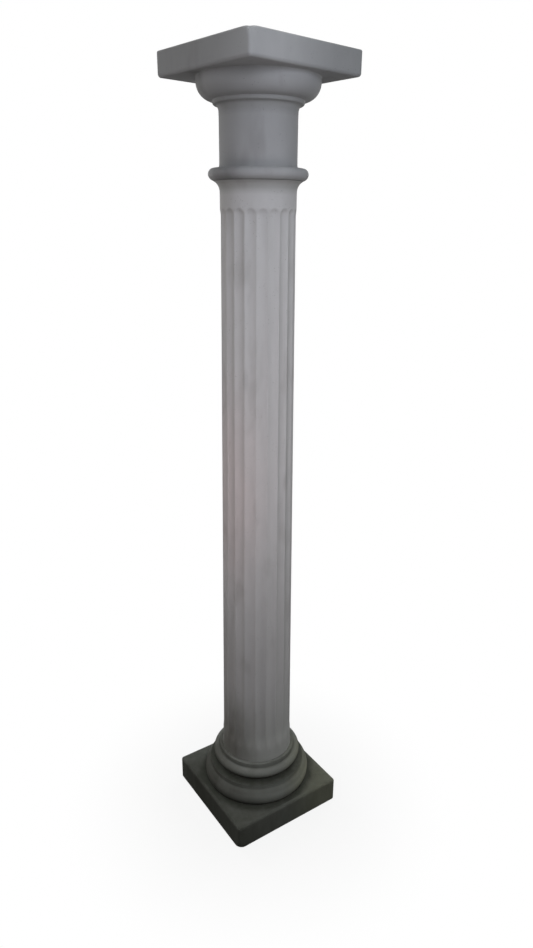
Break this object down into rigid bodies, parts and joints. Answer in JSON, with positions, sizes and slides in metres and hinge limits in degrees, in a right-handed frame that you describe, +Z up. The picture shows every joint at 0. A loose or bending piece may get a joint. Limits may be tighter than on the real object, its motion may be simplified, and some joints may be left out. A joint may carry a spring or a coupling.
{
  "type": "doric column",
  "caption": "Free-standing cast doric column with a fluted, tapered shaft on a square plinth, and a square abacus on top.",
  "frame": {"origin": "middle of the plinth's underside, on the shaft's axis", "axes": "+Z up along the shaft, X and Y along the plinth's sides; the capital is turned by 7.1 degrees about +Z"},
  "size_m": [0.3174, 0.3174, 1.8014],
  "materials": {
    "cast_stone": "matte grey cast stone, fine pores, faint smudges, a little darker towards the foot"
  },
  "bodies": {
    "root": {"base": "cast_stone", "shaft": "cast_stone", "capital": "cast_stone"}
  },
  "joints": []
}
